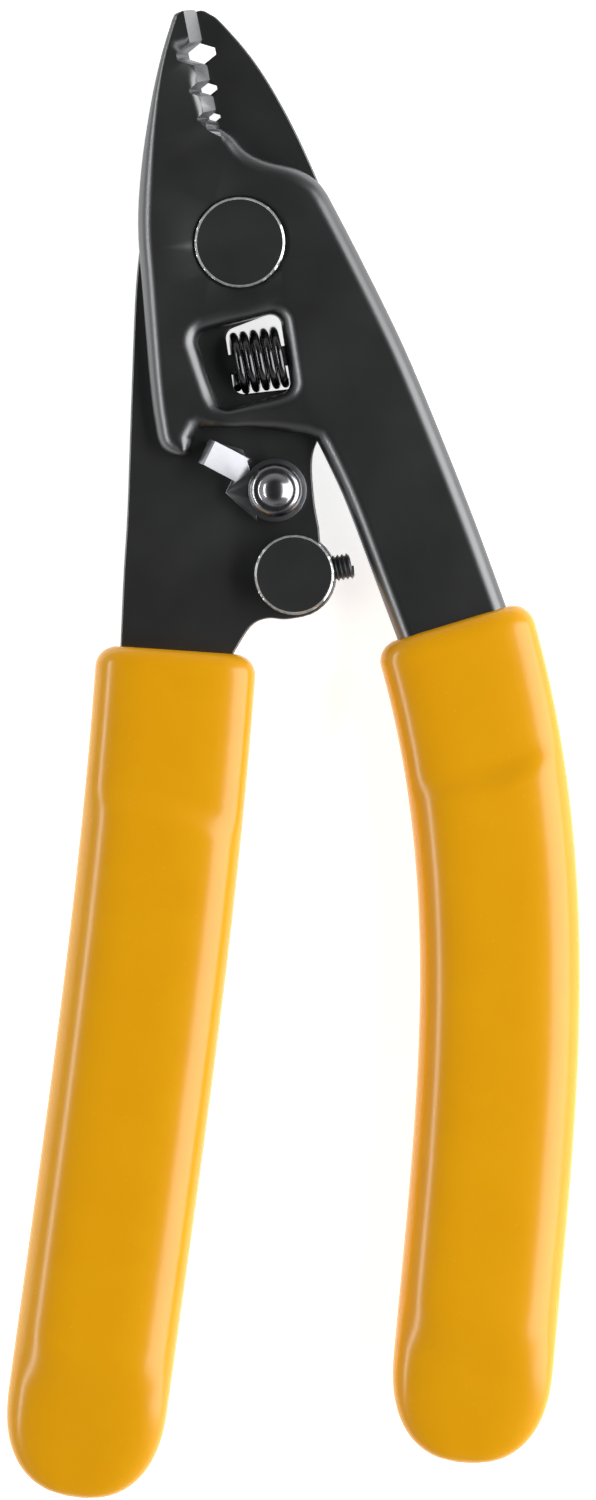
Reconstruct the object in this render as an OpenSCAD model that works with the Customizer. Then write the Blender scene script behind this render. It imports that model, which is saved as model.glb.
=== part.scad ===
// Fibre stripper: two flat steel arms cross at a riveted pivot and carry three pairs of ground
// vee notches in their overlapping jaws. A coil spring in the arms' windows opens them, a swinging
// latch holds them shut, a set screw limits how far they close, and a moulded grip covers each tang.
// The tool lies on the backs of its grips: +Y runs to the jaw tips and +Z faces the front.

/* [Steel arms] */
// Thickness of each arm plate
plate_t = 3.0; // [2.6:0.1:3.4]
// Running gap between the two plates
plate_gap = 0.1; // [0.06:0.02:0.2]
// Width of each arm where it enters its grip
arm_w = 12.6; // [11:0.1:13.4]
// Width of each tang at its far end
tang_w = 9; // [7:0.5:11]
// Share of the grip that the tang reaches into
tang_reach = 0.72; // [0.5:0.02:0.8]

/* [Jaws and stripping holes] */
// Distance from the pivot to the jaw tips
jaw_reach = 26.4; // [25.6:0.1:29]
// Lean of the cutting line away from +Y, in degrees
jaw_lean = 11.2; // [9:0.1:13]
// Overlap of the two cutting edges when shut
jaw_lap = 0.5; // [0.3:0.05:0.8]
// Width of the ground bevel along each cutting edge
bevel_w = 1.4; // [1:0.1:1.8]
// Thickness left at each cutting edge
edge_land = 0.6; // [0.4:0.1:1]
// Width of the jacket stripping hole
jacket_hole_w = 2.75; // [2.4:0.05:3.1]
// Width of the buffer stripping hole
buffer_hole_w = 1.5; // [1.2:0.05:1.7]
// Width of the coating stripping hole
coating_hole_w = 1.0; // [0.8:0.05:1.1]
// Distance from the pivot to the jacket hole
jacket_hole_at = 21.5; // [21.2:0.1:22.4]
// Distance from the pivot to the buffer hole
buffer_hole_at = 17.5; // [17.2:0.1:17.9]
// Distance from the pivot to the coating hole
coating_hole_at = 14.3; // [14.1:0.1:14.6]

/* [Pivot] */
// Radius of the pivot rivet's head
pivot_head_r = 5.0; // [4.6:0.1:5.4]
// Height of the pivot rivet's head
pivot_head_h = 1.1; // [0.8:0.1:1.4]
// Radius of the pivot rivet's shank
pivot_shank_r = 3.0; // [2.6:0.1:3.4]
// Depth of the seat for the head in the front arm
pivot_seat_h = 0.5; // [0.3:0.1:0.8]
// Thickness of the washer behind the back arm
washer_t = 0.7; // [0.5:0.1:0.8]

/* [Return spring] */
// Outer radius of the return spring
spring_r = 3.5; // [3.2:0.1:3.6]
// Wire diameter of the return spring
wire_d = 0.9; // [0.8:0.05:1]
// Number of turns in the return spring
spring_turns = 5; // [4:0.5:5.5]
// Length of the return spring when the arms are shut
spring_len = 6.3; // [6:0.1:6.6]
// Distance from the pivot to the spring's axis
spring_at = 13.1; // [12.9:0.1:13.3]

/* [Closing stop] */
// Distance from the pivot to the stop post
post_at = 37.3; // [36.8:0.1:37.8]
// Radius of the stop post
post_r = 4.4; // [4:0.1:4.6]
// Height of the stop post above the back arm
post_h = 4.2; // [4:0.1:4.8]
// Thread diameter of the stop screw
screw_d = 3.0; // [2.6:0.1:3]
// Length of the stop screw
screw_len = 8; // [7:0.5:10]
// How far the stop screw stands out of the post's axis
screw_out = 6.7; // [5.8:0.1:6.8]

/* [Latch] */
// Distance of the latch rivet to the right of the pivot
latch_x = 3.9; // [3.5:0.1:4.3]
// Distance of the latch rivet below the pivot
latch_drop = 27.4; // [27.2:0.1:28]
// Thickness of the latch lever
latch_t = 1.2; // [1:0.1:1.4]
// Radius of the latch rivet's head
latch_head_r = 3.0; // [2.6:0.1:3.2]
// Radius of the latch rivet's shank
latch_shank_r = 1.5; // [1.2:0.1:1.8]
// Angle of the thumb tab out of the lever, in degrees
tab_rise = 35; // [20:1:50]
// Distance from the pivot down to the roof of the latch notch
notch_roof = 20.5; // [20:0.1:20.6]
// Distance from the pivot down to the end of the front arm's lobe
lobe_drop = 23.7; // [23.5:0.1:23.9]

/* [Grips] */
// Width of each grip
grip_w = 17.8; // [16.6:0.1:19]
// Thickness of the cuff at the top of each grip
cuff_t = 9.2; // [8.6:0.1:10]
// Thickness of the pad below the cuff
pad_t = 11.2; // [10.4:0.1:12]
// Length of the cuff
cuff_len = 15; // [12:0.5:20]
// Depth of the flat on the back of each grip
back_flat = 0.4; // [0.2:0.05:0.6]
// Length of the rounded end of each grip
end_len = 11.4; // [9:0.1:13]
// Distance from the pivot down to the end of the left grip
left_reach = 139.1; // [134:0.1:144]
// Distance from the pivot down to the end of the right grip
right_reach = 135.3; // [130:0.1:140]
// Distance of the left grip's end to the left of the pivot
left_spread = 18.3; // [17:0.1:20]
// Distance of the right grip's end to the right of the pivot
right_spread = 25.0; // [23.5:0.1:26.5]
// Radius of the vent hole in each grip
vent_r = 0.5; // [0.3:0.1:0.8]
// Distance from a grip's end to its vent hole
vent_at = 7.5; // [6:0.5:10]

/* [Hidden] */
$fn = 64;

steel_black = "#303131";
steel_bright = "#8a8a88";
wire_black = "#1f1f20";
grip_yellow = "#e8aa0a";

fit = 0.05;                              // radial clearance of every shank and thread in its bore
face_fit = 0.05;                         // clearance between stacked faces
front_z = plate_gap/2;                   // back face of the front arm, from the middle plane
front_top = front_z + plate_t;           // front face of the front arm
back_z = -plate_gap/2;                   // front face of the back arm
back_bottom = back_z - plate_t;          // back face of the back arm
seat_r = pivot_head_r + 0.25;            // seat in the front arm round the pivot head
jaw_root = 12.9;                         // start of the cutting edges, from the pivot
trough = 1.5;                            // how far each ground vee runs out across its jaw
vee_slope = tan(28);                     // slope of a vee notch's flanks
vee_floor = 0.27;                        // width of a vee's floor as a share of its hole

holes = [[jacket_hole_w, jacket_hole_at], [buffer_hole_w, buffer_hole_at],
         [coating_hole_w, coating_hole_at]];

// Grip centre lines: cubic curves from the cuff to the rounded end
left_line = [[-7.0, -45.1], [-9.1, -76.4], [4.1 - left_spread, 31.1 - left_reach],
             [-left_spread, -left_reach]];
right_line = [[23.5, -42.1], [33.2, -74], [right_spread + 2.2, 31.3 - right_reach],
              [right_spread, -right_reach]];

spring_tilt = 8.8;                       // tilt of the spring's axis above +X
spring_mid = spring_at*[sin(spring_tilt), -cos(spring_tilt)];
spring_pip = 1.3;                        // length of the pip that holds each end of the spring
post_turn = 9.3;                         // angle of the post's radius away from -Y
post = post_at*[sin(post_turn), -cos(post_turn)];
post_shank_r = 2.5;
screw_z = back_z + post_h/2;             // height of the screw's axis
latch = [latch_x, -latch_drop];
latch_washer_t = 0.3;
latch_z = back_z + latch_washer_t + 2*face_fit;      // back face of the lever
latch_top = latch_z + latch_t;
latch_boss_r = 3.5;

// ---- curves ----
function bez(p, t) = pow(1 - t, 3)*p[0] + 3*t*pow(1 - t, 2)*p[1] + 3*t*t*(1 - t)*p[2] + pow(t, 3)*p[3];
function bez_slope(p, t) = pow(1 - t, 2)*(p[1] - p[0]) + 2*t*(1 - t)*(p[2] - p[1]) + t*t*(p[3] - p[2]);
function side_of(p, t) = let (d = bez_slope(p, t)) [-d[1], d[0]]/norm(d);
function line_len(p) = norm(p[3] - p[0]);
function spline_at(a, b, c, d, t) =
    0.5*(2*b + (c - a)*t + (2*a - 5*b + 4*c - d)*t*t + (3*b - a - 3*c + d)*t*t*t);
function spline(p, n = 5) = [
    for (i = [0:len(p) - 2])
        for (k = [0:n - 1])
            spline_at(p[max(i - 1, 0)], p[i], p[i + 1], p[min(i + 2, len(p) - 1)], k/n),
    p[len(p) - 1]
];
function arc(c, r, a0, a1, n = 12) = [
    for (i = [0:n]) let (a = a0 + (a1 - a0)*i/n) c + r*[cos(a), sin(a)]
];
function smoothstep(x) = let (t = max(0, min(1, x))) t*t*(3 - 2*t);
// A point in the jaws: u across the cutting line, f as a share of the jaw's reach along it
function jaw(u, f) = let (v = f*jaw_reach)
    [u*cos(jaw_lean) - v*sin(jaw_lean), u*sin(jaw_lean) + v*cos(jaw_lean)];
// One edge of the strap that runs down a grip: side is 1 on the right and -1 on the left
function strap_edge(p, side, t0, t1, extra = 0, n = 14) = [
    for (i = [0:n])
        let (t = t0 + (t1 - t0)*i/n, w = arm_w + (tang_w - arm_w)*max(0, t)/tang_reach)
            bez(p, t) + side*(w/2 + extra)*side_of(p, t)
];
function reversed(p) = [for (i = [len(p) - 1:-1:0]) p[i]];

// ---- arm outlines, from the cutting edge round the jaw's back, down to the tang and up again ----
function tang_end(p) = let (t = tang_reach, s = side_of(p, t), d = [s[1], -s[0]]) [
    for (a = [15:15:165]) bez(p, t) + tang_w/2*(cos(a)*s + 0.35*sin(a)*d)
];

front_jaw = [jaw(jaw_lap/2, 0.985), jaw(-0.05, 1), jaw(-1.9, 0.997), jaw(-2.45, 0.98), jaw(-3.05, 0.94),
             jaw(-4.7, 0.82), jaw(-6.7, 0.645), jaw(-9, 0.403), [-11.3, 2], [-10.8, -5.3],
             [-10, -15.5], [-9.4, -20.2], [-8.9, 1.4 - lobe_drop], [-7.9, 0.35 - lobe_drop],
             [-6.5, -lobe_drop], [-5.6, 0.5 - lobe_drop], [-5.1, 1.9 - lobe_drop]];
front_notch = [[-4.6, -notch_roof - 0.25], [-4, -notch_roof], [1, -notch_roof], [7.4, -notch_roof - 0.8],
               [8.5, -notch_roof - 1.3]];
front_inner = [[8.9, -notch_roof - 2.1], [11.4, -27.9], [14, -34.6]];
front_outer = [[26.2, -31.2], [22.3, -21.3], [18.1, -11.3], [13.2, -1.3], [9.7, 5.4]];
front_shoulder = [[9.7, 5.4], [8.5, 6.9], [6.2, 8.3], [2.7, 9.3], [0.6, 10.4], [-0.9, 12],
                  jaw(jaw_lap/2, jaw_root/jaw_reach)];
front_outline = concat(
    spline(front_jaw),
    front_notch,
    spline(concat(front_inner, [strap_edge(right_line, -1, 0, 1)[0]])),
    strap_edge(right_line, -1, 0, tang_reach),
    reversed(tang_end(right_line)),
    reversed(strap_edge(right_line, 1, 0, tang_reach)),
    spline(concat([strap_edge(right_line, 1, 0, 1)[0]], front_outer)),
    spline(front_shoulder));

back_jaw = [jaw(-jaw_lap/2, 0.97), jaw(0.1, 0.992), jaw(0.9, 0.994), jaw(1.7, 0.972), jaw(2.7, 0.93),
            jaw(5.2, 0.765), jaw(7.2, 0.576), jaw(9, 0.338), [10.2, 3], [11.2, -2], [11.5, -8],
            [11.1, -14.5], [9.6, -19.8], [8.1, -23.4], [8.2, -27.9], [8.8, -31.6]];
post_lobe_r = post_r + 0.3;
back_crook = [post + post_lobe_r*[cos(-78), sin(-78)], [5, -41.7], [3, -41.6], [1.2, -42.5]];
back_left = [[-12.9, -36.2], [-12.5, -29.6], [-12.1, -17.9], [-11.65, -6.3], [-11.2, -1], [-10.7, 2.5],
             [-9.2, 6.2], [-6.6, 9.2], [-4.4, 11.4], jaw(-jaw_lap/2, jaw_root/jaw_reach)];
back_outline = concat(
    spline(back_jaw),
    arc(post, post_lobe_r, 52, -78),
    spline(concat(back_crook, [strap_edge(left_line, 1, 0, 1)[0]])),
    strap_edge(left_line, 1, 0, tang_reach),
    tang_end(left_line),
    reversed(strap_edge(left_line, -1, 0, tang_reach)),
    spline(concat([strap_edge(left_line, -1, 0, 1)[0]], back_left)));

// Windows, drawn in the spring's own axes: one end of each bears on the spring
front_window = [[-6.5, 3.9], [-4.9, -5.1], [spring_len/2, -3.9], [spring_len/2, 4.9]];
back_window = [[-spring_len/2, 3.8], [-spring_len/2, -3.4], [spring_len/2 + 2.9, -3.8],
               [spring_len/2 + 2.9, 4.6], [2, 4.9]];

// ---- shared shapes ----
module placed() {
    translate([pivot_x, pivot_y, mid_z]) children();
}

module in_jaw() {
    rotate([0, 0, jaw_lean]) children();
}

module in_spring() {
    translate([spring_mid[0], spring_mid[1], 0]) rotate([0, 0, spring_tilt]) children();
}

module rod(r, z0, z1) {
    translate([0, 0, z0]) cylinder(r = r, h = z1 - z0);
}

// Disc with a turned chamfer round its upper edge
module chamfered_disc(r, z0, z1, chamfer) {
    translate([0, 0, z0]) rotate_extrude()
        polygon([[0, 0], [r, 0], [r, z1 - z0 - chamfer], [r - chamfer, z1 - z0], [0, z1 - z0]]);
}

module vee(w, shift) {
    floor_w = vee_floor*w;
    mouth = 1.2;
    flank = (mouth + w/2 + shift)*vee_slope;
    polygon([[-w/2 - shift, floor_w/2], [-w/2 - shift, -floor_w/2], [mouth, -floor_w/2 - flank],
             [mouth, floor_w/2 + flank]]);
}

// Ground vee notches and the bevel along the cutting edge, for the front jaw
module jaw_grinding() {
    over = 0.2;
    for (h = holes)
        translate([0, h[1], 0]) hull() {
            translate([0, 0, -over]) linear_extrude(over) vee(h[0], 0);
            translate([0, 0, front_top]) linear_extrude(over) vee(h[0], trough);
        }
    drop = plate_t - edge_land;
    translate([0, jaw_reach + 1, 0]) rotate([90, 0, 0]) linear_extrude(jaw_reach + 1 - jaw_root)
        polygon([[jaw_lap/2 - bevel_w, front_top], [jaw_lap/2, front_top - drop],
                 [jaw_lap/2 + 1, front_top - drop], [jaw_lap/2 + 1, front_top + 1],
                 [jaw_lap/2 - bevel_w, front_top + 1]]);
}

module window(points) {
    offset(r = 1.2) offset(delta = -1.2) polygon(points);
}

// Coined pip that enters the spring's bore from a window's edge
module spring_pip(side) {
    w = 2.2;
    root = 0.5;
    coined = 1.5;
    z0 = side > 0 ? front_z : back_z - coined;
    x0 = side > 0 ? spring_len/2 - spring_pip : -spring_len/2 - root;
    translate([x0, -w/2, z0]) cube([spring_pip + root, w, coined]);
}

// ---- steel arms ----
module front_arm() {
    color(steel_black) placed() difference() {
        union() {
            difference() {
                translate([0, 0, front_z]) linear_extrude(plate_t) polygon(front_outline);
                in_spring() translate([0, 0, front_z - 1]) linear_extrude(plate_t + 2)
                    window(front_window);
            }
            in_spring() spring_pip(1);
        }
        rod(pivot_shank_r + fit, front_z - 1, front_top + 1);
        rod(seat_r, front_top - pivot_seat_h, front_top + 1);
        in_jaw() jaw_grinding();
    }
}

module back_arm() {
    color(steel_black) placed() difference() {
        union() {
            difference() {
                translate([0, 0, back_bottom]) linear_extrude(plate_t) polygon(back_outline);
                in_spring() translate([0, 0, back_bottom - 1]) linear_extrude(plate_t + 2)
                    window(back_window);
            }
            in_spring() spring_pip(-1);
        }
        rod(pivot_shank_r + fit, back_bottom - 1, back_z + 1);
        translate(post) rod(post_shank_r + fit, back_bottom - 1, back_z + 1);
        translate(latch) rod(latch_shank_r + fit, back_bottom - 1, back_z + 1);
        in_jaw() rotate([0, 180, 0]) jaw_grinding();
    }
}

// ---- pivot ----
module pivot_rivet() {
    seat_z = front_top - pivot_seat_h + face_fit;
    tail_z = back_bottom - washer_t - 2*face_fit;
    color(steel_black) placed() union() {
        chamfered_disc(pivot_head_r, seat_z, seat_z + pivot_head_h, 0.25);
        rod(pivot_shank_r, tail_z, seat_z);
        mirror([0, 0, 1]) chamfered_disc(pivot_shank_r + 0.9, -tail_z, 0.9 - tail_z, 0.5);
    }
}

module pivot_washer() {
    color(steel_bright) placed() difference() {
        rod(pivot_head_r, back_bottom - face_fit - washer_t, back_bottom - face_fit);
        rod(pivot_shank_r + fit, back_bottom - 2*washer_t, back_bottom + 1);
    }
}

// ---- return spring ----
// Distance along the spring after a share s of its turns: the end coils lie closed
function coil_advance(s) =
    let (closed = 0.75/spring_turns, travel = spring_len - wire_d, step = 0.75*wire_d*1.04)
        s < closed ? step*s/closed
        : s > 1 - closed ? travel - step*(1 - s)/closed
        : step + (travel - 2*step)*(s - closed)/(1 - 2*closed);

// Faces of a skin over rings of equal size, with both ends capped
function skin_faces(rows, cols) = concat(
    [[for (c = [0:cols - 1]) c]],
    [for (r = [0:rows - 2]) for (c = [0:cols - 1]) [r*cols + c, (r + 1)*cols + c, r*cols + (c + 1)%cols]],
    [for (r = [0:rows - 2]) for (c = [0:cols - 1])
        [(r + 1)*cols + c, (r + 1)*cols + (c + 1)%cols, r*cols + (c + 1)%cols]],
    [[for (c = [cols - 1:-1:0]) (rows - 1)*cols + c]]);

module return_spring() {
    steps = 20*spring_turns;
    sides = 8;
    coil_r = spring_r - wire_d/2;
    ring_points = [
        for (i = [0:steps])
            let (a = -360*spring_turns*i/steps - 60,
                 x = wire_d/2 - spring_len/2 + coil_advance(i/steps))
                for (k = [0:sides - 1])
                    let (b = 360*k/sides, r = coil_r + wire_d/2*cos(b))
                        [x + wire_d/2*sin(b), r*cos(a), -r*sin(a)]
    ];
    color(wire_black) placed() in_spring() polyhedron(ring_points, skin_faces(steps + 1, sides));
}

// ---- closing stop ----
module along_screw() {
    translate([post[0], post[1], screw_z]) rotate([0, 0, post_turn]) rotate([0, 90, 0]) children();
}

module stop_post() {
    color(steel_black) placed() difference() {
        translate(post) union() {
            chamfered_disc(post_r, back_z + face_fit, back_z + post_h, 0.25);
            rod(post_shank_r, back_bottom - face_fit, back_z + face_fit);
            mirror([0, 0, 1])
                chamfered_disc(post_shank_r + 0.8, face_fit - back_bottom, face_fit + 0.8 - back_bottom, 0.4);
        }
        along_screw() rod(screw_d/2 + fit, -post_r - 1, post_r + 1);
    }
}

module stop_screw() {
    socket_w = 1.5;
    socket_deep = 1.6;
    color(steel_bright) placed() along_screw() difference() {
        translate([0, 0, screw_out - screw_len]) chamfered_disc(screw_d/2, 0, screw_len, 0.35);
        translate([0, 0, screw_out - screw_len - 1]) cylinder(d = socket_w/cos(30), h = socket_deep + 1, $fn = 6);
    }
}

// ---- latch ----
// Outline of the flat lever, from the latch rivet
lever_neck = [[-2.9, 2.7], [-3.6, 4.5], [-7.2, 5.6], [-7.6, 5.2], [-7.35, 4.8], [-4.4, 3.85],
              [-4.1, 2.6], [-5.5, -0.3], [-2, -3.4]];
// Thumb tab, seen square on to the lever: length, and width at the bend
tab_len = 4.3;
tab_w = 2.95;
tab_turn = 154;                          // direction of the tab from the rivet, in degrees
tab_from = 4.7;                          // distance from the rivet to the bend
tab_off = -0.45;                         // shift of the tab across its own direction

module latch_lever() {
    color(steel_bright) placed() translate([latch[0], latch[1], latch_z]) difference() {
        union() {
            cylinder(r = latch_boss_r, h = latch_t);
            linear_extrude(latch_t) polygon(lever_neck);
            rotate([0, 0, tab_turn]) translate([tab_from, tab_off, 0]) rotate([0, -tab_rise, 0])
                translate([0, -tab_w/2, 0]) cube([tab_len/cos(tab_rise), tab_w, latch_t]);
        }
        rod(latch_shank_r + fit, -1, latch_t + 1);
    }
}

module latch_rivet() {
    head_h = 1.7;
    dome_r = (latch_head_r*latch_head_r + head_h*head_h)/(2*head_h);
    head_z = latch_top + face_fit;
    color(steel_bright) placed() translate(latch) union() {
        intersection() {
            translate([0, 0, head_z + head_h - dome_r]) sphere(r = dome_r);
            rod(latch_head_r + 1, head_z, head_z + head_h + 1);
        }
        rod(latch_shank_r, back_bottom - face_fit, head_z);
        mirror([0, 0, 1])
            chamfered_disc(latch_shank_r + 0.8, face_fit - back_bottom, face_fit + 0.7 - back_bottom, 0.35);
    }
}

module latch_washer() {
    color(steel_bright) placed() translate(latch) difference() {
        rod(latch_boss_r - 0.3, back_z + face_fit, back_z + face_fit + latch_washer_t);
        rod(latch_shank_r + fit, back_z - 1, back_z + 2);
    }
}

// ---- grips ----
// Width and thickness of a grip at a distance d from its top and e from its end
function top_round(d) = let (r = 2.4) d < r ? r - sqrt(r*r - (r - d)*(r - d)) : 0;
function end_round(e) = e < end_len ? pow(max(0, 1 - pow(1 - e/end_len, 2.4)), 1/2.4) : 1;
function grip_width(d, e) = max(1.2, (grip_w - 2*top_round(d))*end_round(e));
function grip_thick(d, e) =
    let (pad = smoothstep((d - cuff_len)/3), tip = 1 - smoothstep((e - 4)/12))
        max(1.2, (cuff_t + (pad_t - cuff_t)*pad - 2.6*tip - 0.6*top_round(d))*pow(end_round(e), 0.5));

grip_rows = 26;
grip_cols = 24;
grip_edge = 2.9;                         // squareness of the grip's section
function signed_pow(x, p) = sign(x)*pow(abs(x), p);
// Share of the centre line at each row, closer together at both ends
function row_share(i) = 0.5 - 0.5*cos(180*(0.5 - 0.5*cos(180*i/(grip_rows - 1)))*0.7 + 180*i/(grip_rows - 1)*0.3);

function grip_points(p, skew) = [
    for (i = [0:grip_rows - 1])
        let (t = row_share(i), s = side_of(p, t), d = t*line_len(p), e = (1 - t)*line_len(p),
             w = grip_width(d, e))
            for (k = [0:grip_cols - 1])
                let (a = 360*k/grip_cols, u = w/2*signed_pow(cos(a), 2/grip_edge),
                     h = grip_thick(d + skew*u, e), xy = bez(p, t) + u*s)
                    [xy[0], xy[1], h/2*signed_pow(sin(a), 2/grip_edge)]
];

// Grip skin with its tang pocket, its vent hole and a flat back
module grip(p, skew, tang_z) {
    vent_t = 1 - vent_at/line_len(p);
    vent_xy = bez(p, vent_t);
    difference() {
        polyhedron(grip_points(p, skew), skin_faces(grip_rows, grip_cols));
        translate([0, 0, tang_z - face_fit]) linear_extrude(plate_t + 2*face_fit)
            polygon(concat(strap_edge(p, 1, -0.06, tang_reach, fit),
                           [for (q = tang_end(p)) q - 0.15*side_of(right_line, 1)*0 + [0, -0.15]],
                           reversed(strap_edge(p, -1, -0.06, tang_reach, fit))));
        translate([-100, -200, -mid_z - 20]) cube([200, 300, 20]);
        translate([vent_xy[0], vent_xy[1], pad_t/4]) cylinder(r = vent_r, h = pad_t);
    }
}

module left_grip() {
    color(grip_yellow) placed() grip(left_line, 0.45, back_bottom);
}

module right_grip() {
    color(grip_yellow) placed() grip(right_line, 0.3, front_z);
}

// The origin lies under the middle of the whole tool
mid_z = pad_t/2 - back_flat;
side_shares = [for (i = [0:grip_rows - 1]) row_share(i)];
function side_x(p, side, t) =
    let (l = line_len(p)) bez(p, t)[0] + side*grip_width(t*l, (1 - t)*l)/2*side_of(p, t)[0];
left_most = min([for (t = side_shares) side_x(left_line, -1, t)]);
right_most = max([for (t = side_shares) side_x(right_line, 1, t)]);
tip_y = max([for (q = spline(front_jaw)) q[1]]);
pivot_x = -(left_most + right_most)/2;
pivot_y = (max(left_reach, right_reach) - tip_y)/2;

back_arm();
front_arm();
pivot_rivet();
pivot_washer();
return_spring();
stop_post();
stop_screw();
latch_lever();
latch_rivet();
latch_washer();
left_grip();
right_grip();
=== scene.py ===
# %% [markdown]
# # A fibre stripper, dressed around its imported model
# The tool is a pair of flat black steel arms crossed at a rivet, with ground stripping notches in the
# jaws, a coil spring in a window, a swinging latch, a closing stop and two moulded yellow grips.
# The imported model already holds every piece at its real size. This lesson adds what the eye needs:
# rounded stamped edges, a wound spring, a cut thread, shaped grips, and the finish of each surface.
# It starts by loading the imported model and reading its boxes.

# %% Load the frame
import math

import bmesh
import bpy
from mathutils import Matrix, Vector


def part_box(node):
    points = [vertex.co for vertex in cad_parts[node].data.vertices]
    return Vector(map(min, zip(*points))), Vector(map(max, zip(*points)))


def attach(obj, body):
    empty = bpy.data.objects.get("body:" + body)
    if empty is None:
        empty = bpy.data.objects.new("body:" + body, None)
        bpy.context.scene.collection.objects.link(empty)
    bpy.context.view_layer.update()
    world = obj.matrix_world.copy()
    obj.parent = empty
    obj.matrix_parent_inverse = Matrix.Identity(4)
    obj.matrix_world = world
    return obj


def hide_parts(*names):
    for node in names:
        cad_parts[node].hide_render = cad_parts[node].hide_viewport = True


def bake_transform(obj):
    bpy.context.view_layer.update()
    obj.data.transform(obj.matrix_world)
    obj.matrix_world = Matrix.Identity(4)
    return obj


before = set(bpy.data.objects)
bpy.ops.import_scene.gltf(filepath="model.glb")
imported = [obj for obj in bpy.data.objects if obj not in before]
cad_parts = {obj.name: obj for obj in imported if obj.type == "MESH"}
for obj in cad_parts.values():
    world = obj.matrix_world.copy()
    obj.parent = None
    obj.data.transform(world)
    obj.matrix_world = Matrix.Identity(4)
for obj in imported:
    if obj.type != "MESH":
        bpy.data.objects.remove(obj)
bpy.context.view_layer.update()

MM = 0.001


def middle(name):
    """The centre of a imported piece's box."""
    low, high = (Vector(corner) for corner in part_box(name))
    return (low + high) / 2


MID_Z = (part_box("back_arm")[1][2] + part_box("front_arm")[0][2]) / 2
PIVOT = Vector((middle("pivot_rivet").x, middle("pivot_rivet").y, MID_Z))
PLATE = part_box("front_arm")[1][2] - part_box("front_arm")[0][2]


def at(x, y, z=0.0):
    """A point given in millimetres from the pivot, on the plane where the arms meet."""
    return PIVOT + Vector((x, y, z)) * MM


print("pivot (mm):", [round(c / MM, 2) for c in PIVOT], "plate (mm):", round(PLATE / MM, 2))

# %% [markdown]
# ## Selecting in code
# Every edit-mode operator acts on what is selected, and the loaded nodes arrive selected. So a helper
# clears the selection and opens one piece, and a second one picks faces or edges by a test on their
# place and direction, which is what a hand does with the mouse.

# %% Helpers for editing
def open_piece(obj):
    """Leaves every other piece and opens this one in edit mode with nothing selected."""
    if bpy.context.mode != "OBJECT":
        bpy.ops.object.mode_set(mode="OBJECT")
    bpy.ops.object.select_all(action="DESELECT")
    bpy.context.view_layer.objects.active = obj
    obj.select_set(True)
    bpy.ops.object.mode_set(mode="EDIT")
    bpy.ops.mesh.select_all(action="DESELECT")


def close_piece():
    bpy.ops.object.mode_set(mode="OBJECT")


def pick(obj, kind, test):
    """Selects the faces, edges or verts of the open piece for which the test holds."""
    bpy.ops.mesh.select_mode(type={"faces": "FACE", "edges": "EDGE", "verts": "VERT"}[kind])
    bpy.ops.mesh.select_all(action="DESELECT")
    mesh = bmesh.from_edit_mesh(obj.data)
    count = 0
    for item in getattr(mesh, kind):
        if test(item):
            item.select_set(True)
            count += 1
    mesh.select_flush(True)
    bmesh.update_edit_mesh(obj.data)
    return count


def name_piece(name):
    obj = bpy.context.active_object
    obj.name = name
    obj.data.name = name
    return obj


def apply_place(obj):
    """Bakes an object's place into its mesh, so that the object itself sits at the origin."""
    bpy.ops.object.select_all(action="DESELECT")
    bpy.context.view_layer.objects.active = obj
    obj.select_set(True)
    bpy.ops.object.transform_apply(location=True, rotation=True, scale=True)


def apply_modifiers(obj):
    bpy.context.view_layer.objects.active = obj
    for modifier in list(obj.modifiers):
        bpy.ops.object.modifier_apply(modifier=modifier.name)


def smooth(obj, degrees=35):
    bpy.ops.object.select_all(action="DESELECT")
    bpy.context.view_layer.objects.active = obj
    obj.select_set(True)
    bpy.ops.object.shade_smooth_by_angle(angle=math.radians(degrees))


def outward(obj):
    """Merges doubled points and turns every face outwards."""
    open_piece(obj)
    bpy.ops.mesh.select_all(action="SELECT")
    bpy.ops.mesh.remove_doubles(threshold=0.002 * MM)
    bpy.ops.mesh.normals_make_consistent(inside=False)
    close_piece()


def merged_copy(node, name):
    """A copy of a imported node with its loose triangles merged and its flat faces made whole."""
    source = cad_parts[node]
    copy = source.copy()
    copy.data = source.data.copy()
    copy.parent = None
    bpy.context.collection.objects.link(copy)
    copy.name = name
    copy.data.name = name
    open_piece(copy)
    bpy.ops.mesh.select_all(action="SELECT")
    bpy.ops.mesh.remove_doubles(threshold=0.002 * MM)
    bpy.ops.mesh.dissolve_limited(angle_limit=math.radians(0.3))
    close_piece()
    return copy


# %% [markdown]
# ## Building materials
# Colours are written as the sRGB hex values that a colour picker shows and turned to linear once.
# One small function adds a node with its settings and links, so each material reads as a short recipe.

# %% Helpers for materials
def colour(hex_code):
    """An sRGB hex colour as linear RGBA."""
    parts = [int(hex_code[i:i + 2], 16) / 255 for i in (1, 3, 5)]
    return [c / 12.92 if c < 0.04045 else ((c + 0.055) / 1.055) ** 2.4 for c in parts] + [1.0]


def add_node(tree, kind, settings=None, **inputs):
    """Adds one node: settings are its own fields, inputs are values or sockets to link."""
    made = tree.nodes.new(kind)
    for field, value in (settings or {}).items():
        setattr(made, field, value)
    for label, value in inputs.items():
        socket = made.inputs[label.replace("_", " ")]
        if isinstance(value, bpy.types.NodeSocket):
            tree.links.new(value, socket)
        else:
            socket.default_value = value
    return made


def new_material(name, base, metallic, roughness, **sockets):
    """A material with its shader's constant values set on the shader itself."""
    material = bpy.data.materials.new(name)
    material.use_nodes = True
    shader = material.node_tree.nodes["Principled BSDF"]
    shader.inputs["Base Color"].default_value = colour(base)
    shader.inputs["Metallic"].default_value = metallic
    shader.inputs["Roughness"].default_value = roughness
    for label, value in sockets.items():
        shader.inputs[label.replace("_", " ")].default_value = value
    return material, material.node_tree, shader


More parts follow.
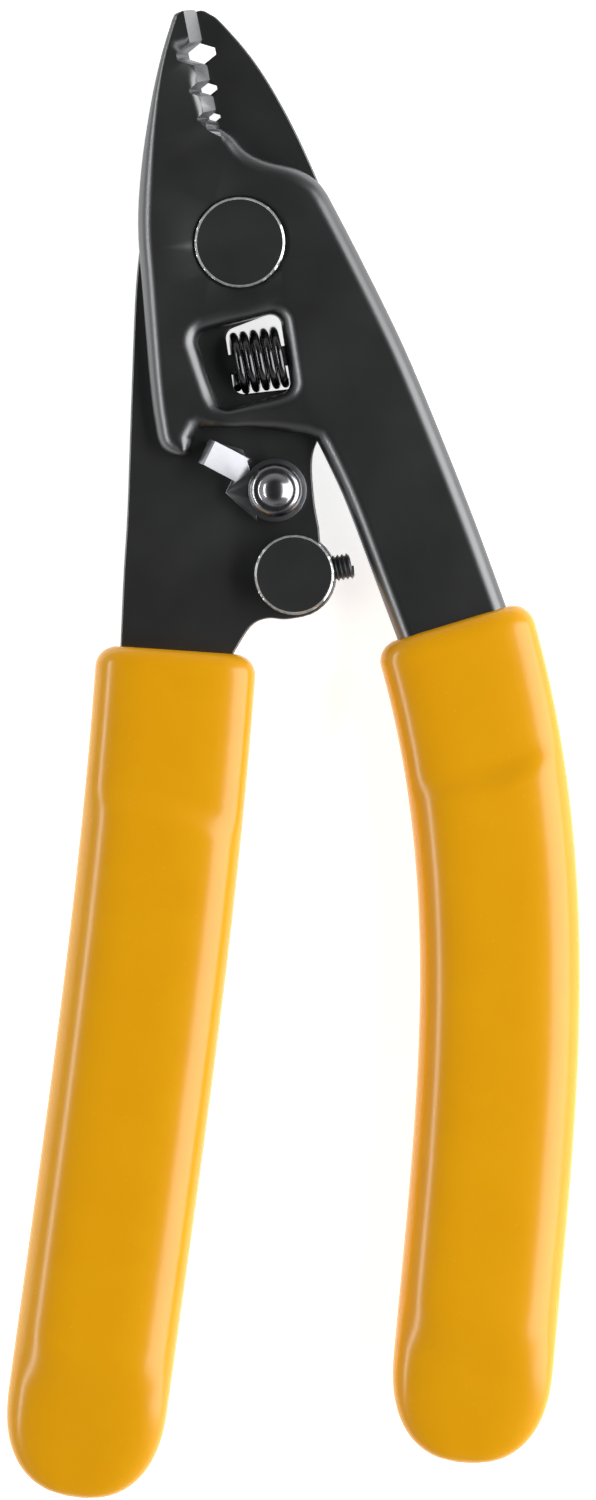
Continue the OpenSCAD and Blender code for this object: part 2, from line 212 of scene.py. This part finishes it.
def object_noise(tree, size_mm, detail=3.0, stretch=(1, 1, 1)):
    """Noise on object coordinates whose features are about size_mm across."""
    place = add_node(tree, "ShaderNodeTexCoord")
    turn = add_node(tree, "ShaderNodeMapping", Vector=place.outputs["Object"], Scale=stretch)
    return add_node(tree, "ShaderNodeTexNoise", Vector=turn.outputs["Vector"],
                    Scale=1 / (size_mm * MM), Detail=detail)


def add_bump(tree, shader, height, strength, depth_mm):
    bump = add_node(tree, "ShaderNodeBump", Height=height, Strength=strength, Distance=depth_mm * MM)
    tree.links.new(bump.outputs["Normal"], shader.inputs["Normal"])


def vary(tree, shader, socket, factor, low, high):
    """Spreads a number over a surface between low and high."""
    spread = add_node(tree, "ShaderNodeMapRange", Value=factor, To_Min=low, To_Max=high)
    tree.links.new(spread.outputs["Result"], shader.inputs[socket])


def vary_colour(tree, shader, factor, dark, light):
    mixed = add_node(tree, "ShaderNodeMix", {"data_type": "RGBA"})
    tree.links.new(factor, mixed.inputs["Factor"])
    mixed.inputs[6].default_value = colour(dark)
    mixed.inputs[7].default_value = colour(light)
    tree.links.new(mixed.outputs[2], shader.inputs["Base Color"])


def dress(obj, material):
    obj.data.materials.clear()
    obj.data.materials.append(material)


# %% [markdown]
# ## Black oxide steel
# The arms are stamped from spring steel, tumbled, and blackened in a hot oxide bath. The coating is thin,
# so the metal under it still mirrors lights, only darkly and a little blurred. The tumbling leaves a very
# fine pebble of about 0.2 mm. A dark metal with middling roughness gives both; a dark plastic would lose
# the strong bright lines along the rounded edges.

# %% Black oxide steel
OXIDE, tree, shader = new_material("black_oxide_steel", "#6f7071", 1.0, 0.34)
fine = object_noise(tree, 0.25, detail=2.0)
cloud = object_noise(tree, 9.0, detail=3.0)
vary(tree, shader, "Roughness", cloud.outputs["Fac"], 0.30, 0.40)
vary_colour(tree, shader, cloud.outputs["Fac"], "#6a6b6c", "#747576")
add_bump(tree, shader, fine.outputs["Fac"], 0.12, 0.01)

# %% [markdown]
# ## Ground steel, plated fasteners, spring wire
# The jaws' bevels and notches are ground after stamping and blackened with the rest, so they are a touch
# lighter and streaked across the edge by the wheel. The latch parts are a lighter, smoother grey. The
# spring is polished music wire under the same black bath: the sharpest highlights on the tool.

# %% Other metals
GROUND, tree, shader = new_material("ground_oxide_steel", "#8d8e90", 1.0, 0.42)
streak = object_noise(tree, 0.12, detail=2.0, stretch=(1, 0.15, 1))
vary_colour(tree, shader, streak.outputs["Fac"], "#858688", "#98999b")
add_bump(tree, shader, streak.outputs["Fac"], 0.2, 0.01)

LATCH_STEEL, tree, shader = new_material("grey_latch_steel", "#8b8c90", 1.0, 0.33)
brushed = object_noise(tree, 0.3, detail=2.0, stretch=(0.3, 1, 1))
vary(tree, shader, "Roughness", brushed.outputs["Fac"], 0.27, 0.38)

RIVET_STEEL, tree, shader = new_material("burnished_rivet_steel", "#a4a4a7", 1.0, 0.2)
swirl = object_noise(tree, 0.8, detail=3.0)
vary(tree, shader, "Roughness", swirl.outputs["Fac"], 0.15, 0.3)
add_bump(tree, shader, swirl.outputs["Fac"], 0.15, 0.02)

WIRE, tree, shader = new_material("polished_spring_wire", "#5a5a5c", 1.0, 0.16)
drawn = object_noise(tree, 0.2, detail=1.0)
vary(tree, shader, "Roughness", drawn.outputs["Fac"], 0.12, 0.2)

# Pale steel: the washers' own colour, and a painted highlight on the chamfers of the pivot rivet and stop
# post.
PALE_STEEL_AND_CHAMFER_HIGHLIGHT, tree, shader = new_material("pale_steel_and_painted_chamfer_highlight", "#c4c5c6", 1.0, 0.25)
lathe = object_noise(tree, 0.15, detail=1.0)
vary(tree, shader, "Roughness", lathe.outputs["Fac"], 0.2, 0.3)
print("metals:", [m.name for m in (OXIDE, GROUND, LATCH_STEEL, RIVET_STEEL, WIRE, PALE_STEEL_AND_CHAMFER_HIGHLIGHT)])

# %% [markdown]
# ## Moulded vinyl
# The grips are glossy vinyl, moulded over the tangs. Vinyl is a dielectric with an IOR of about 1.53, and
# light sinks a little way into its pigment, which keeps the shaded edges warm. A slow waviness of a few
# millimetres breaks the highlights as real moulding does.

# %% Vinyl
VINYL, tree, shader = new_material("yellow_moulded_vinyl", "#f0aa08", 0.0, 0.24, IOR=1.53)
wave = object_noise(tree, 6.0, detail=2.0)
skin = object_noise(tree, 0.5, detail=2.0)
vary_colour(tree, shader, wave.outputs["Fac"], "#eda506", "#f3ae0c")
vary(tree, shader, "Roughness", skin.outputs["Fac"], 0.2, 0.3)
add_bump(tree, shader, wave.outputs["Fac"], 0.08, 0.25)
shader.inputs["Subsurface Weight"].default_value = 0.08
shader.inputs["Subsurface Radius"].default_value = (1.0, 0.45, 0.1)
shader.inputs["Subsurface Scale"].default_value = 1.2 * MM

print("vinyl ready")

# %% [markdown]
# ## The two steel arms
# Each arm is one thick stamping whose outer rim is rounded over, so light slides round a broad, soft edge.
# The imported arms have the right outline, so each piece starts as a merged copy. Its flat face is deleted,
# the open rim is extruded inwards ring by ring along a quarter round, and the last ring is filled again.
# Where the outline turns tightly, or where the rim meets a ground face, the round has to shrink. The
# widest round that fits at a point is the widest circle that touches the outline there from inside.

# %% Rounding a rim
RINGS = (75, 60, 45, 32, 20, 10, 0)          # slope of the round at each ring, in degrees


def round_sizes(rim, points, inward, wanted):
    """The size of the round at every rim point, in metres."""
    size = {}
    for v in points:
        walls = all(abs(e.link_faces[0].normal.z) < 0.01 for e in v.link_edges if e.is_boundary)
        size[v] = wanted(v.co) * MM if walls else 0.0
        way = inward[v].normalized()
        for other in points:
            gap = other.co - v.co
            toward = gap.dot(way)
            if toward > 0 and gap.length > 0.3 * MM:
                size[v] = min(size[v], 0.45 * gap.length_squared / toward)
    for _ in range(12):
        for edge in rim:
            a, b = edge.verts
            slack = 0.6 * edge.calc_length()
            size[a] = min(size[a], size[b] + slack)
            size[b] = min(size[b], size[a] + slack)
    return size


def round_rim(obj, face_z, side, wanted):
    """Rounds the rim of the flat face at face_z. side is 1 when it looks up; wanted gives mm at a point."""
    open_piece(obj)
    pick(obj, "faces", lambda f: f.normal.z * side > 0.999
         and abs(f.calc_center_median().z - face_z) < 0.01 * MM)
    bpy.ops.mesh.delete(type="FACE")
    mesh = bmesh.from_edit_mesh(obj.data)
    for edge in [e for e in mesh.edges if e.is_boundary and e.calc_length() > 1.5 * MM]:
        bmesh.ops.subdivide_edges(mesh, edges=[edge], cuts=int(edge.calc_length() / MM))
    rim = [e for e in mesh.edges if e.is_boundary]
    points = list({v: None for e in rim for v in e.verts})
    inward = {}
    for v in points:
        total = sum((e.link_faces[0].normal for e in v.link_edges if e.is_boundary), Vector())
        total.z = 0
        inward[v] = -total * 2 / total.length_squared
    size = round_sizes(rim, points, inward, wanted)
    start = {v: v.co.copy() for v in points}
    roots = {v: v for v in points}
    for degrees in RINGS:
        lean = math.radians(degrees)
        made = bmesh.ops.extrude_edge_only(mesh, edges=rim)["geom"]
        rim = [g for g in made if isinstance(g, bmesh.types.BMEdge) and g.is_boundary]
        grown = {}
        for v in {v for e in rim for v in e.verts}:
            root = next(roots[e.other_vert(v)] for e in v.link_edges if e.other_vert(v) in roots)
            grown[v] = root
            v.co = start[root] + inward[root] * size[root] * (1 - math.sin(lean))
            v.co.z -= side * size[root] * (1 - math.cos(lean))
        roots = grown
    for v in points:
        v.co.z -= side * size[v]
    for face in mesh.faces:
        face.select_set(False)
    for edge in rim:
        edge.select_set(True)
    bmesh.update_edit_mesh(obj.data)
    bpy.ops.mesh.fill(use_beauty=True)
    close_piece()
    outward(obj)
    print(obj.name, "rim points:", len(points), "widest round (mm):", round(max(size.values()) / MM, 2))


# %% [markdown]
# ## Where the rims are round
# The long edges carry the full round. It stays off the pivot, the rivets' seats and the ground jaws,
# whose cutting faces must stay crisp, and it narrows towards the thin jaw tips.

# %% Places in the tool
LEAN = math.radians(11.2)


def ramp(value, start, end):
    """Rises smoothly from 0 at start to 1 at end."""
    t = max(0.0, min(1.0, (value - start) / (end - start)))
    return t * t * (3 - 2 * t)


def from_pivot(point):
    return (point - PIVOT) / MM


def jaw_place(point):
    """A point in the jaws, across and along the cutting line, in millimetres."""
    p = from_pivot(point)
    return (p.x * math.cos(LEAN) + p.y * math.sin(LEAN), -p.x * math.sin(LEAN) + p.y * math.cos(LEAN))


def near(point, places, reach):
    p = from_pivot(point).xy
    return any((p - Vector(place)).length < reach for place in places)


def outer_round(point):
    """Size of the round on an arm's outer face."""
    across, along = jaw_place(point)
    if near(point, [(0, 0)], 6) or near(point, [(6.03, -36.8), (3.9, -27.4)], 2.9):
        return 0.0
    return 1.8 - 1.2 * ramp(along, 6, 24)


def inner_round(point):
    """The face that slides on the other arm only has its burr taken off."""
    return 0.0 if outer_round(point) == 0.0 else 0.22


def grind_faces(obj):
    """Gives the ground faces of a jaw the second material."""
    obj.data.materials.clear()
    obj.data.materials.append(OXIDE)
    obj.data.materials.append(GROUND)
    count = 0
    for face in obj.data.polygons:
        across, along = jaw_place(Vector(face.center))
        if along > 12.8 and abs(across) < 3.2 and 0.05 < abs(face.normal.z) < 0.999:
            face.material_index = 1
            count += 1
    print(obj.name, "ground faces:", count)


def finish_arm(arm, body, node):
    smooth(arm, 35)
    weighted = arm.modifiers.new("flat faces first", "WEIGHTED_NORMAL")
    weighted.keep_sharp = True
    apply_modifiers(arm)
    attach(arm, body)
    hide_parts(node)


# %% Front arm
front_arm = merged_copy("front_arm", "front_arm_rounded")
grind_faces(front_arm)
round_rim(front_arm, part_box("front_arm")[1][2], 1, outer_round)
finish_arm(front_arm, "front_half", "front_arm")

# %% Back arm
back_arm = merged_copy("back_arm", "back_arm_rounded")
grind_faces(back_arm)
round_rim(back_arm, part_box("back_arm")[1][2], 1, inner_round)
round_rim(back_arm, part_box("back_arm")[0][2], -1, outer_round)
finish_arm(back_arm, "back_half", "back_arm")

# %% [markdown]
# ## Turned pieces: pivot rivet and stop post
# Both are short turned discs. Their faces are flat and black. A narrow chamfer runs round each, and its
# faces are painted a pale grey, a painted highlight that draws a thin bright ring round each disc. The
# imported pieces have the right chamfer, so the copy only needs its chamfer faces found by their slope and
# painted pale.

# %% Pivot rivet and stop post
def paint_chamfer_highlight(obj, low, high):
    """Paints a highlight on the sloped faces between two heights by giving them the pale material."""
    obj.data.materials.clear()
    obj.data.materials.append(OXIDE)
    obj.data.materials.append(PALE_STEEL_AND_CHAMFER_HIGHLIGHT)
    for face in obj.data.polygons:
        if 0.3 < face.normal.z < 0.95 and low < face.center.z < high:
            face.material_index = 1
    smooth(obj, 25)


# The thin bright ring on the chamfer is a painted highlight: a pale colour on the sloped faces.
pivot_rivet = merged_copy("pivot_rivet", "pivot_rivet_dressed")
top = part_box("pivot_rivet")[1][2]
paint_chamfer_highlight(pivot_rivet, top - 0.5 * MM, top)
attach(pivot_rivet, "back_half")
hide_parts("pivot_rivet")

stop_post = merged_copy("stop_post", "stop_post_dressed")
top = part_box("stop_post")[1][2]
paint_chamfer_highlight(stop_post, top - 0.5 * MM, top)
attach(stop_post, "back_half")
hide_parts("stop_post")

# %% [markdown]
# ## The return spring
# A coil is one circle of wire swept along a helix. The Screw modifier does just that to a small circle
# that stands beside the axis. The end coils of a real compression spring lie closed, so the points are
# then moved along the axis by a rule that packs the ends and opens the middle. Each end of the spring
# sits on a different arm.

# %% Spring
WIRE_D = 0.9
SPRING_TURNS = 5.0
SPRING_R = 3.5
SPRING_LEN = 6.3
SPRING_TILT = math.radians(8.8)
spring_mid = at(13.1 * math.sin(SPRING_TILT), -13.1 * math.cos(SPRING_TILT))

bpy.ops.object.select_all(action="DESELECT")
bpy.ops.mesh.primitive_circle_add(vertices=16, radius=WIRE_D / 2 * MM, rotation=(math.pi / 2, 0, 0),
                                  location=((SPRING_R - WIRE_D / 2) * MM, 0, 0))
spring = name_piece("return_spring_wound")
apply_place(spring)
screw = spring.modifiers.new("winding", "SCREW")
screw.axis = "Z"
screw.angle = 2 * math.pi * SPRING_TURNS
screw.screw_offset = (SPRING_LEN - WIRE_D) * MM
screw.steps = int(40 * SPRING_TURNS)
screw.render_steps = int(40 * SPRING_TURNS)
screw.use_smooth_shade = True
apply_modifiers(spring)
open_piece(spring)
pick(spring, "edges", lambda e: e.is_boundary)
bpy.ops.mesh.edge_face_add()
close_piece()
open_piece(spring)
bpy.ops.mesh.select_all(action="SELECT")
bpy.ops.mesh.normals_make_consistent(inside=False)
close_piece()


def coil_advance(share):
    """Where a share of the turns lies along the axis, with closed end coils."""
    closed = 0.75 / SPRING_TURNS
    travel = SPRING_LEN - WIRE_D
    step = 0.75 * WIRE_D * 1.04
    if share < closed:
        return step * share / closed
    if share > 1 - closed:
        return travel - step * (1 - share) / closed
    return step + (travel - 2 * step) * (share - closed) / (1 - 2 * closed)


travel = SPRING_LEN - WIRE_D
turn_in = (Matrix.Translation(spring_mid) @ Matrix.Rotation(SPRING_TILT, 4, "Z")
           @ Matrix.Rotation(math.pi / 2, 4, "Y") @ Matrix.Rotation(math.radians(-60), 4, "Z"))
for vertex in spring.data.vertices:
    turn = (math.atan2(vertex.co.y, vertex.co.x) / (2 * math.pi)) % 1.0
    height = vertex.co.z / MM
    turns = round(height / travel * SPRING_TURNS - turn) + turn
    share = max(0.0, min(1.0, turns / SPRING_TURNS))
    wire_part = height - travel * share
    vertex.co.z = (coil_advance(share) + wire_part - travel / 2) * MM
    vertex.co = turn_in @ vertex.co
smooth(spring, 60)
dress(spring, WIRE)
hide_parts("return_spring")
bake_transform(spring)
print("spring coils:", SPRING_TURNS, "at (mm)", [round(c / MM, 1) for c in spring_mid])

# %% [markdown]
# ## The stop screw
# A set screw is a rod with a cut thread. Its 60 degree thread is a zigzag that climbs one pitch a turn,
# so two edges of a zigzag are wound by the Screw modifier, once per pitch, and the ends are closed.

# %% Stop screw
THREAD_D = 3.0
PITCH = 0.5
screw_low, screw_high = (Vector(c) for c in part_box("stop_screw"))
screw_dir = Vector((math.cos(math.radians(9.3)), math.sin(math.radians(9.3)), 0))
screw_tip = Vector((middle("stop_post").x, middle("stop_post").y, (screw_low.z + screw_high.z) / 2))
screw_tip += screw_dir * 6.7 * MM
THREADS = 14
bpy.ops.object.select_all(action="DESELECT")
bpy.ops.mesh.primitive_circle_add(vertices=3, radius=MM, location=(0, 0, 0))
stop_screw = name_piece("stop_screw_threaded")
open_piece(stop_screw)
mesh = bmesh.from_edit_mesh(stop_screw.data)
root = THREAD_D / 2 - 0.3
corners = [(root, 0), (THREAD_D / 2 - 0.02, PITCH * 0.46), (root, PITCH * 0.96)]
for vertex, (r, h) in zip(mesh.verts, corners):
    vertex.co = Vector((r, 0, h)) * MM
mesh.edges.ensure_lookup_table()
mesh.verts.ensure_lookup_table()
closing = [e for e in mesh.edges if {v.index for v in e.verts} == {0, 2}]
bmesh.ops.delete(mesh, geom=closing, context="EDGES")
bmesh.update_edit_mesh(stop_screw.data)
close_piece()
screw = stop_screw.modifiers.new("thread", "SCREW")
screw.axis = "Z"
screw.screw_offset = PITCH * MM
screw.iterations = THREADS
screw.steps = 32
screw.render_steps = 32
screw.use_merge_vertices = True
screw.merge_threshold = 0.03 * MM
apply_modifiers(stop_screw)
print("thread faces:", len(stop_screw.data.polygons))
open_piece(stop_screw)
pick(stop_screw, "edges", lambda e: e.is_boundary and all(v.co.z < 2 * PITCH * MM for v in e.verts))
bpy.ops.mesh.edge_face_add()
pick(stop_screw, "edges", lambda e: e.is_boundary)
bpy.ops.mesh.edge_face_add()
close_piece()
place = (Matrix.Translation(screw_tip) @ Matrix.Rotation(math.radians(9.3), 4, "Z")
         @ Matrix.Rotation(math.pi / 2, 4, "Y") @ Matrix.Translation((0, 0, -(THREADS + 1) * PITCH * MM)))
for vertex in stop_screw.data.vertices:
    vertex.co = place @ vertex.co
outward(stop_screw)
smooth(stop_screw, 30)
dress(stop_screw, OXIDE)
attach(stop_screw, "screw")
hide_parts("stop_screw")

# %% [markdown]
# ## Latch lever and rivet
# The lever is a small flat stamping whose thumb tab is bent up towards the user, so the tab catches the
# light and looks paler than the flat part. Its copy gets a slight bevel. The rivet's head is a shallow
# dome inside a raised rim, the mark of the tool that set it, so its half profile is spun round the axis.

# %% Latch lever
latch_lever = merged_copy("latch_lever", "latch_lever_dressed")
bevel = latch_lever.modifiers.new("eased edges", "BEVEL")
bevel.width = 0.14 * MM
bevel.segments = 2
bevel.limit_method = "ANGLE"
bevel.angle_limit = math.radians(40)
apply_modifiers(latch_lever)
smooth(latch_lever, 30)
dress(latch_lever, LATCH_STEEL)
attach(latch_lever, "latch")
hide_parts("latch_lever")

# %% Latch rivet
rivet_low, rivet_high = (Vector(c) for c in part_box("latch_rivet"))
lever_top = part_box("latch_washer")[1][2] + 1.3 * MM
head_r = (rivet_high.x - rivet_low.x) / 2
bpy.ops.object.select_all(action="DESELECT")
bpy.ops.mesh.primitive_circle_add(vertices=8, radius=MM)
latch_rivet = name_piece("latch_rivet_dressed")
open_piece(latch_rivet)
bpy.ops.mesh.select_all(action="SELECT")
bpy.ops.mesh.delete(type="VERT")
mesh = bmesh.from_edit_mesh(latch_rivet.data)
head_h = (rivet_high.z - lever_top) / MM
R = head_r / MM
half = [(0, head_h), (0.5, head_h - 0.03), (1.0, head_h - 0.13), (1.4, head_h - 0.32), (1.7, head_h - 0.58),
        (1.9, head_h - 0.72), (2.15, head_h - 0.74), (2.4, head_h - 0.78), (2.65, head_h - 0.95),
        (2.85, head_h - 1.2), (R, head_h - 1.45), (R, 0.12), (R - 0.12, 0), (1.5, 0), (1.5, -4.6), (0, -4.6)]
line = [mesh.verts.new((r * MM, 0, z * MM)) for r, z in half]
for a, b in zip(line, line[1:]):
    mesh.edges.new((a, b))
bmesh.update_edit_mesh(latch_rivet.data)
bpy.ops.mesh.select_all(action="SELECT")
bpy.ops.mesh.spin(steps=64, angle=2 * math.pi, center=(0, 0, 0), axis=(0, 0, 1))
close_piece()
for vertex in latch_rivet.data.vertices:
    vertex.co += Vector(((rivet_low.x + rivet_high.x) / 2, (rivet_low.y + rivet_high.y) / 2, lever_top))
outward(latch_rivet)
smooth(latch_rivet, 40)
dress(latch_rivet, RIVET_STEEL)
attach(latch_rivet, "back_half")
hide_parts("latch_rivet")

# %% [markdown]
# ## The moulded grips
# Each grip starts as a flat grid, as tall as the grip and as wide as the way round it. The grid is rolled
# up round a curved centre line. The section is a rounded rectangle: a plain cuff at the top, then a soft
# step up to a thicker pad that swells across the palm, and a sloping rounded end. Writing the section as
# a rule keeps both grips alike and lets every edge stay soft.

# %% Grip shape
GRIP_W = 17.8
END_LEN = 11.4
END_POWER = 2.4
TOP_R = 2.4
SQUARENESS = 3.6         # 2 would make the section round
SHOULDER_AT = 15.8       # where the pad begins, from the top edge
SHOULDER_SLANT = 1.9     # how much further down it begins at one edge
SHOULDER_LEN = 3.2
CUFF_TOP = 4.35          # half the cuff's thickness
PAD_RISE = 0.75
END_FALL = 1.9           # how much the face falls towards the rounded end
LEFT_LINE = [(-7.0, -45.1), (-9.1, -76.4), (-14.2, -108.0), (-18.3, -139.1)]
RIGHT_LINE = [(23.5, -42.1), (33.2, -74.0), (27.2, -104.0), (25.0, -135.3)]


def on_line(points, t):
    """A point and its direction on a cubic curve."""
    p = [Vector(q) for q in points]
    s = 1 - t
    place = s**3 * p[0] + 3 * t * s**2 * p[1] + 3 * t**2 * s * p[2] + t**3 * p[3]
    slope = s**2 * (p[1] - p[0]) + 2 * t * s * (p[2] - p[1]) + t**2 * (p[3] - p[2])
    return place, slope.normalized()


def squared(value, power):
    """A cosine or sine raised to a power, which turns a circle into a rounded square."""
    return math.copysign(abs(value) ** power, value)


def grip_point(points, t, angle, lean):
    """The grip's surface at a share of its length and an angle round its section.

    lean is 1 where the shoulder drops towards the right edge and -1 where it rises."""
    place, slope = on_line(points, t)
    length = (Vector(points[3]) - Vector(points[0])).length
    d, e = t * length, (1 - t) * length
    side = Vector((-slope.y, slope.x))
    corner = TOP_R - math.sqrt(max(0.0, TOP_R**2 - (TOP_R - d) ** 2)) if d < TOP_R else 0.0
    end = max(0.0, 1 - (1 - e / END_LEN) ** END_POWER) ** (1 / END_POWER) if e < END_LEN else 1.0
    half_w = max(0.3, (GRIP_W / 2 - corner) * end)
    u = squared(math.cos(angle), 2 / SQUARENESS)
    z = squared(math.sin(angle), 2 / SQUARENESS)
    shoulder = SHOULDER_AT + SHOULDER_SLANT * ramp(u, -0.1, 0.9) * lean
    pad = ramp(d, shoulder, shoulder + SHOULDER_LEN) * ramp(e - 2.6 * abs(u) ** 3, 10.5, 16.5)
    flank = (1 - abs(u) ** 6)
    top = CUFF_TOP + PAD_RISE * pad * flank - END_FALL * (1 - ramp(e, 1.0, 15.0)) - 0.6 * corner
    half_h = max(0.4, top * end**0.45)
    xy = place + u * half_w * side
    return at(xy.x, xy.y, z * half_h)


def model_grip(name, points, lean):
    """Rolls a flat grid up into a grip and closes its ends."""
    around, rows = 96, 170
    bpy.ops.object.select_all(action="DESELECT")
    bpy.ops.mesh.primitive_grid_add(x_subdivisions=around, y_subdivisions=rows, size=1)
    grip = name_piece(name)
    for vertex in grip.data.vertices:
        s = vertex.co.y + 0.5
        t = 0.55 * s + 0.45 * (0.5 - 0.5 * math.cos(math.pi * s))
        vertex.co = grip_point(points, 0.0005 + 0.999 * t, (vertex.co.x + 0.5) * 2 * math.pi, lean)
    outward(grip)
    open_piece(grip)
    pick(grip, "edges", lambda e: e.is_boundary)
    bpy.ops.mesh.fill_holes(sides=0)
    close_piece()
    outward(grip)
    print(name, "faces:", len(grip.data.polygons))
    return grip


left_grip = model_grip("left_grip_moulded", LEFT_LINE, 1)
smooth(left_grip, 50)
dress(left_grip, VINYL)
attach(left_grip, "back_half")
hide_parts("left_grip")

right_grip = model_grip("right_grip_moulded", RIGHT_LINE, -1)
smooth(right_grip, 50)
dress(right_grip, VINYL)
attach(right_grip, "front_half")
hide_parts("right_grip")

# %% [markdown]
# ## Small hidden pieces
# The pivot washer and the latch washer stay as packed: plain flat rings that only need their metal.

# %% Washers
for washer in ("pivot_washer", "latch_washer"):
    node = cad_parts[washer]
    node.data.materials.clear()
    node.data.materials.append(PALE_STEEL_AND_CHAMFER_HIGHLIGHT)

# %% [markdown]
# ## Studio
# The tool lies on a white sheet. Flat black faces mirror what hangs over them, so the space overhead is
# kept dark. A large soft panel stands on the right, from high up down to the table: it gives the broad
# sheen on everything that turns right. A narrow strip on the left draws the thin line on the left edges.

# %% Floor and world
bpy.ops.object.select_all(action="DESELECT")
bpy.ops.mesh.primitive_plane_add(size=3.0, location=(0, 0, -0.0002))
floor = name_piece("floor")
PAPER, tree, shader = new_material("white_sheet", "#ffffff", 0.0, 1.0)
shader.inputs["Specular IOR Level"].default_value = 0.0
shader.inputs["Emission Color"].default_value = (1, 1, 1, 1)
shader.inputs["Emission Strength"].default_value = 0.7
dress(floor, PAPER)

world = bpy.context.scene.world or bpy.data.worlds.new("studio")
bpy.context.scene.world = world
world.use_nodes = True
tree = world.node_tree
tree.nodes.clear()
view = add_node(tree, "ShaderNodeTexCoord")
parts = add_node(tree, "ShaderNodeSeparateXYZ", Vector=view.outputs["Generated"])
sky = add_node(tree, "ShaderNodeMapRange", Value=parts.outputs["Z"], From_Min=0.1, From_Max=0.8,
               To_Min=0.55, To_Max=0.03)
shade = add_node(tree, "ShaderNodeBackground", Color=(1, 1, 1, 1), Strength=sky.outputs["Result"])
add_node(tree, "ShaderNodeOutputWorld", Surface=shade.outputs["Background"])

# %% Lights
def soft_panel(name, azimuth, elevation, distance, across, tall, power):
    """A rectangular soft light that faces the tool from a direction given in degrees."""
    a, e = math.radians(azimuth), math.radians(elevation)
    place = Vector((math.cos(a) * math.cos(e), math.sin(a) * math.cos(e), math.sin(e))) * distance
    bpy.ops.object.light_add(type="AREA", location=place)
    panel = bpy.context.active_object
    panel.name = name
    panel.data.shape = "RECTANGLE"
    panel.data.size = across
    panel.data.size_y = tall
    panel.data.energy = power
    panel.rotation_euler = place.to_track_quat("Z", "Y").to_euler()
    return panel


soft_panel("right_panel", 0, 32, 0.9, 1.0, 0.9, 11)
soft_panel("left_strip", 180, 38, 0.9, 0.9, 0.10, 3)

# %% Camera
VIEW_HEIGHT = 1500 * 0.111 * MM
DISTANCE = 1.2
camera_data = bpy.data.cameras.new("camera")
camera = bpy.data.objects.new("camera", camera_data)
bpy.context.collection.objects.link(camera)
camera.location = at(6.44, -56.2) + Vector((0, 0, DISTANCE))
camera_data.sensor_width = 36
camera_data.lens = 36 * DISTANCE / VIEW_HEIGHT
camera_data.clip_end = 10
bpy.context.scene.camera = camera
bpy.context.scene.view_settings.view_transform = "Standard"
bpy.context.scene.view_settings.look = "None"
print("lens (mm):", round(camera_data.lens, 1))
